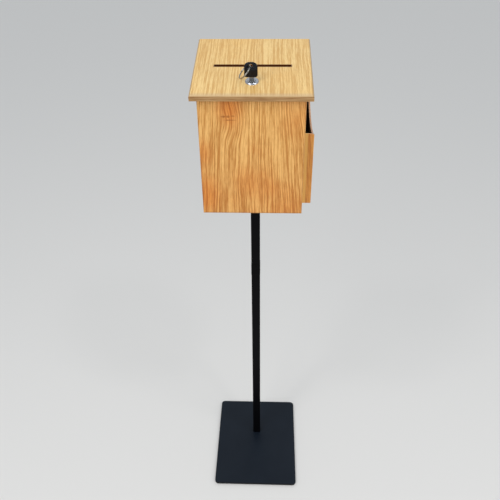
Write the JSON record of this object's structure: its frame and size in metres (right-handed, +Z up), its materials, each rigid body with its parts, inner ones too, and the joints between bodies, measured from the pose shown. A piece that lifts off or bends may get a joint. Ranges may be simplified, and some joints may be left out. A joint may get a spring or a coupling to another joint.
{
  "type": "ballot box",
  "caption": "Oak ballot box with a sloping slotted lid, cam lock and side card pocket, hung on a black square post with a flat base plate.",
  "frame": {"origin": "centre of the underside of the base pad, on the floor", "axes": "+X to the right seen from the front, +Y to the back, away from the voter, +Z up along the post"},
  "size_m": [0.22, 0.3017, 1.1534],
  "materials": {
    "oak_panel": "clear satin lacquer over oak veneer, grain upright",
    "oak_lid": "clear satin lacquer over oak veneer, grain from front to back",
    "oak_pocket": "clear satin lacquer over oak veneer, warmer tone",
    "foam_pad": "thin closed-cell foam sheet",
    "base_paint": "fine-textured satin powder coat",
    "post_paint": "fine-textured satin powder coat",
    "black_plastic": "moulded, polished",
    "zinc_steel": "bright zinc plate",
    "hinge_steel": "nickel-plated, light brushing",
    "lock_chrome": "polished chrome plate",
    "nickel": "polished nickel plate"
  },
  "bodies": {
    "stand_and_box": {"base_pad": "foam_pad", "base_plate": "base_paint", "post": "post_paint", "post_foot": "zinc_steel", "foot_bolt": "zinc_steel", "post_cap": "black_plastic", "post_nuts": "zinc_steel", "mount_bolts": "zinc_steel", "front_panel": "oak_panel", "left_side_panel": "oak_panel", "right_side_panel": "oak_panel", "back_panel": "oak_panel", "bottom_panel": "oak_panel", "pocket_floor": "oak_pocket", "pocket_front": "oak_pocket", "pocket_back": "oak_pocket", "pocket_outer_panel": "oak_pocket", "hinge_fixed_leaves": "hinge_steel", "hinge_fixed_screws": "hinge_steel", "hinge_pins": "hinge_steel", "strike_bracket": "zinc_steel", "strike_screws": "zinc_steel"},
    "lid": {"lid_panel": "oak_lid", "hinge_lid_leaves": "hinge_steel", "hinge_lid_screws": "hinge_steel", "lock_housing": "lock_chrome", "lock_nut": "zinc_steel"},
    "lock_plug": {"lock_plug": "lock_chrome", "lock_cam": "zinc_steel", "cam_screw": "zinc_steel"},
    "key": {"key_blade": "nickel", "key_head": "black_plastic"},
    "key_ring": {"key_ring": "nickel"}
  },
  "joints": [
    {"name": "lid_hinge", "type": "hinge", "parent": "stand_and_box", "child": "lid", "pos_m": [0, 0.029, 1.1355], "axis": [-1, 0, 0], "range_deg": [0, 165]},
    {"name": "lock_turn", "type": "hinge", "parent": "lid", "child": "lock_plug", "pos_m": [0, -0.11996, 1.1221], "axis": [0, 0.1788, -0.9839], "range_deg": [0, 90]},
    {"name": "key_slide", "type": "slide", "parent": "lock_plug", "child": "key", "axis": [0, -0.1788, 0.9839], "range_m": [0, 0.018]},
    {"name": "ring_swing", "type": "hinge", "parent": "key", "child": "key_ring", "pos_m": [-0.0014, -0.12461, 1.14768], "axis": [0, 0.9839, 0.1788], "range_deg": [-16, 290]}
  ]
}
